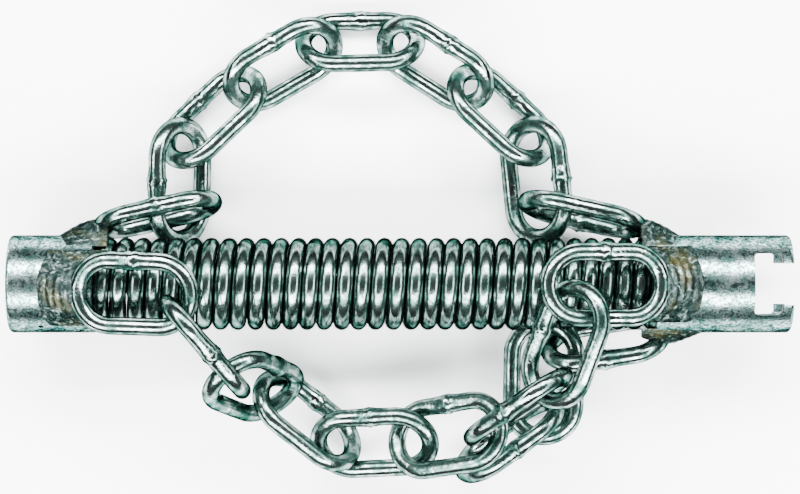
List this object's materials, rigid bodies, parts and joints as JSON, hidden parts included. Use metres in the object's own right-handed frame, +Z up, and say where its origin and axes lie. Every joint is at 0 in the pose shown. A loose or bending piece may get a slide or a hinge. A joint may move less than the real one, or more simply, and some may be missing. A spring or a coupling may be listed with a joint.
{
  "type": "drain cleaning chain flail head",
  "caption": "Chain flail head of a sectional drain cable: a spring core between two tubes, a slotted coupling end and looped welded-link chains.",
  "frame": {"origin": "on the ground below the centre of the whole part's bounding box, as it lies with its chains spread", "axes": "+X along the tubes' common axis, towards the slotted coupling; +Y across it, towards the rear chain's arch; +Z up from the ground it lies on"},
  "size_m": [0.2554, 0.1564, 0.063],
  "materials": {
    "zinc_wire": "bright zinc plate",
    "zinc_tube": "mottled zinc plate",
    "zinc_spring": "bright drawn wire",
    "weld_metal": "rough weld bead"
  },
  "bodies": {
    "core": {"coupling_tube_right": "zinc_tube", "end_tube_left": "zinc_tube", "spring_core": "zinc_spring", "front_welded_link_left": "zinc_wire", "rear_welded_link_left": "zinc_wire", "front_welded_link_right": "zinc_wire", "rear_welded_link_right": "zinc_wire", "lower_welded_link_right": "zinc_wire", "front_welded_bead_left": "weld_metal", "rear_welded_bead_left": "weld_metal", "front_welded_bead_right": "weld_metal", "rear_welded_bead_right": "weld_metal", "lower_welded_bead_right": "weld_metal"},
    "rear_link_2": {"rear_link_2": "zinc_wire"},
    "rear_link_3": {"rear_link_3": "zinc_wire"},
    "rear_link_4": {"rear_link_4": "zinc_wire"},
    "rear_link_5": {"rear_link_5": "zinc_wire"},
    "rear_link_6": {"rear_link_6": "zinc_wire"},
    "rear_link_7": {"rear_link_7": "zinc_wire"},
    "rear_link_8": {"rear_link_8": "zinc_wire"},
    "front_link_2": {"front_link_2": "zinc_wire"},
    "front_link_3": {"front_link_3": "zinc_wire"},
    "front_link_4": {"front_link_4": "zinc_wire"},
    "front_link_5": {"front_link_5": "zinc_wire"},
    "front_link_6": {"front_link_6": "zinc_wire"},
    "front_link_7": {"front_link_7": "zinc_wire"},
    "front_link_8": {"front_link_8": "zinc_wire"},
    "tail_link_2": {"tail_link_2": "zinc_wire"},
    "tail_link_3": {"tail_link_3": "zinc_wire"}
  },
  "joints": [
    {"name": "rear_chain_swing", "type": "hinge", "parent": "core", "child": "rear_link_5", "pos_m": [-0.0735, 0.01, 0.011], "axis": [0.9999, -0.0042, 0.0125], "range_deg": [-30, 22]},
    {"name": "rear_link_2_roll", "type": "hinge", "parent": "rear_link_5", "child": "rear_link_2", "pos_m": [-0.0735, 0.01, 0.011], "axis": [0.0217, 0.9976, 0.0651], "range_deg": [-4, 5]},
    {"name": "rear_link_3_roll", "type": "hinge", "parent": "rear_link_5", "child": "rear_link_3", "pos_m": [-0.073, 0.033, 0.0125], "axis": [0.7228, 0.6892, -0.0504], "range_deg": [-20, 20]},
    {"name": "rear_link_4_roll", "type": "hinge", "parent": "rear_link_5", "child": "rear_link_4", "pos_m": [-0.0515, 0.0535, 0.011], "axis": [0.865, 0.5017, 0], "range_deg": [-25, 25]},
    {"name": "rear_link_6_roll", "type": "hinge", "parent": "rear_link_5", "child": "rear_link_6", "pos_m": [0, 0.0685, 0.011], "axis": [0.8429, -0.538, 0], "range_deg": [-25, 25]},
    {"name": "rear_link_7_roll", "type": "hinge", "parent": "rear_link_5", "child": "rear_link_7", "pos_m": [0.0235, 0.0535, 0.011], "axis": [0.7334, -0.6798, 0], "range_deg": [-25, 20]},
    {"name": "rear_link_8_roll", "type": "hinge", "parent": "rear_link_5", "child": "rear_link_8", "pos_m": [0.044, 0.0345, 0.011], "axis": [0.0993, -0.9933, 0.0596], "range_deg": [-12, 10]},
    {"name": "front_chain_swing", "type": "hinge", "parent": "core", "child": "front_link_5", "pos_m": [-0.071, -0.022, 0.052], "axis": [0.9996, 0.0272, 0], "range_deg": [-20, 2]},
    {"name": "front_link_2_roll", "type": "hinge", "parent": "front_link_5", "child": "front_link_2", "pos_m": [-0.071, -0.022, 0.052], "axis": [0.6047, -0.733, -0.3115], "range_deg": [-4, 2]},
    {"name": "front_link_3_roll", "type": "hinge", "parent": "front_link_5", "child": "front_link_3", "pos_m": [-0.0545, -0.042, 0.0435], "axis": [0.4823, -0.2501, -0.8396], "range_deg": [-3, 10]},
    {"name": "front_link_4_roll", "type": "hinge", "parent": "front_link_5", "child": "front_link_4", "pos_m": [-0.041, -0.049, 0.02], "axis": [0.7653, -0.616, -0.1867], "range_deg": [-22, 3]},
    {"name": "front_link_6_roll", "type": "hinge", "parent": "front_link_5", "child": "front_link_6", "pos_m": [0.0035, -0.064, 0.0205], "axis": [0.8861, 0.1628, 0.434], "range_deg": [-16, 6]},
    {"name": "front_link_7_roll", "type": "hinge", "parent": "front_link_5", "child": "front_link_7", "pos_m": [0.028, -0.0595, 0.0325], "axis": [0.7118, 0.5382, 0.4514], "range_deg": [-25, 12]},
    {"name": "front_link_8_roll", "type": "hinge", "parent": "front_link_5", "child": "front_link_8", "pos_m": [0.0485, -0.044, 0.0455], "axis": [0.3236, 0.9169, 0.2337], "range_deg": [-14, 3]},
    {"name": "tail_link_2_swing", "type": "hinge", "parent": "core", "child": "tail_link_2", "pos_m": [0.0495, -0.0344, 0.0126], "axis": [0, -0.5, 0.866], "range_deg": [-6, 24]},
    {"name": "tail_link_3_swing", "type": "hinge", "parent": "tail_link_2", "child": "tail_link_3", "pos_m": [0.0474, -0.0601, 0.0109], "axis": [0, 0, 1], "range_deg": [0, 36]}
  ]
}
